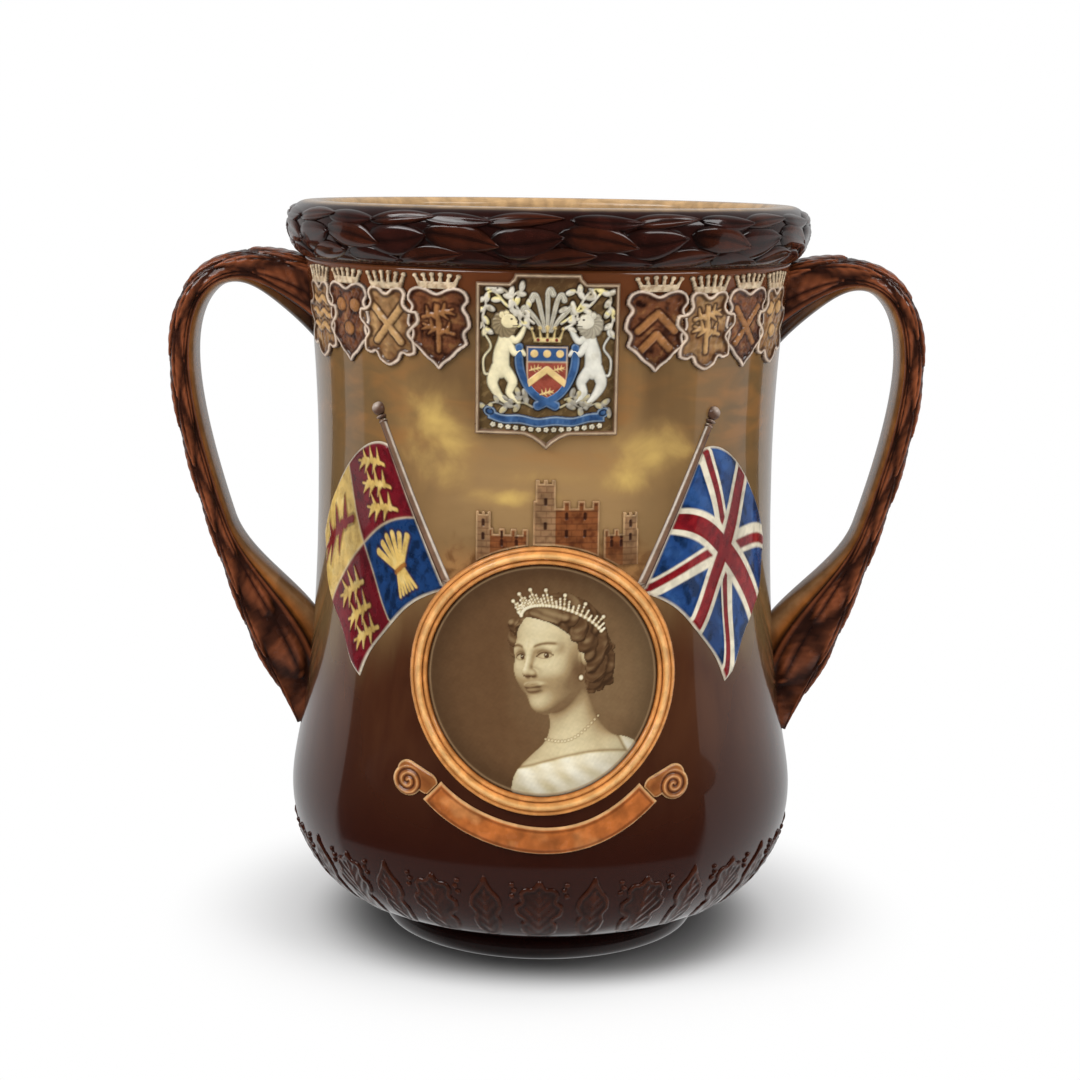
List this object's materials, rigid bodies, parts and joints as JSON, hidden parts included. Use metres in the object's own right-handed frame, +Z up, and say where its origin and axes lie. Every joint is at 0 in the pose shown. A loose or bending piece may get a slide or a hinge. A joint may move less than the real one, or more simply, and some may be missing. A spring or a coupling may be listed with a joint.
{
  "type": "loving cup",
  "caption": "Two-handled loving cup in brown-glazed earthenware, with a wreathed rim and moulded relief of shields, flags and a portrait medallion.",
  "frame": {"origin": "centre of the foot ring's face, on the table", "axes": "+Z up; +X towards the right-hand handle seen from the front; the front with the medallion faces -Y"},
  "size_m": [0.2742, 0.189, 0.265],
  "materials": {
    "body_glaze": "gloss",
    "dark_glaze": "gloss",
    "handle_glaze": "gloss",
    "amber_glaze": "gloss",
    "sepia_print": "satin",
    "banner_enamel": "gloss",
    "flag_enamel": "gloss",
    "pole_glaze": "gloss",
    "panel_glaze": "gloss",
    "arms_enamel": "gloss",
    "cream_enamel": "gloss",
    "blue_enamel": "gloss",
    "castle_glaze": "gloss",
    "tan_glaze": "gloss",
    "brown_glaze": "gloss"
  },
  "bodies": {
    "root": {"body": "body_glaze", "foot_ring": "dark_glaze", "rim_band": "dark_glaze", "rim_wreath": "dark_glaze", "left_handle": "handle_glaze", "right_handle": "handle_glaze", "medallion_frame": "amber_glaze", "medallion_plaque": "sepia_print", "ribbon_band": "amber_glaze", "ribbon_left_curl": "amber_glaze", "ribbon_right_curl": "amber_glaze", "left_flag": "banner_enamel", "right_flag": "flag_enamel", "left_flagpole": "pole_glaze", "right_flagpole": "pole_glaze", "arms_panel": "panel_glaze", "arms_shield": "arms_enamel", "arms_left_beast": "cream_enamel", "arms_right_beast": "cream_enamel", "arms_crest": "cream_enamel", "arms_scroll": "blue_enamel", "castle_keep": "castle_glaze", "castle_left_range": "castle_glaze", "castle_right_range": "castle_glaze", "leaf_border": "dark_glaze", "shield_1": "brown_glaze", "shield_2": "tan_glaze", "shield_3": "brown_glaze", "shield_4": "tan_glaze", "shield_5": "brown_glaze", "shield_6": "tan_glaze", "shield_7": "brown_glaze", "shield_8": "tan_glaze", "shield_9": "brown_glaze", "shield_10": "tan_glaze", "shield_11": "brown_glaze", "shield_12": "tan_glaze", "shield_13": "brown_glaze", "shield_14": "tan_glaze", "shield_15": "brown_glaze", "shield_16": "tan_glaze", "shield_17": "brown_glaze", "shield_18": "tan_glaze", "shield_19": "brown_glaze"}
  },
  "joints": []
}
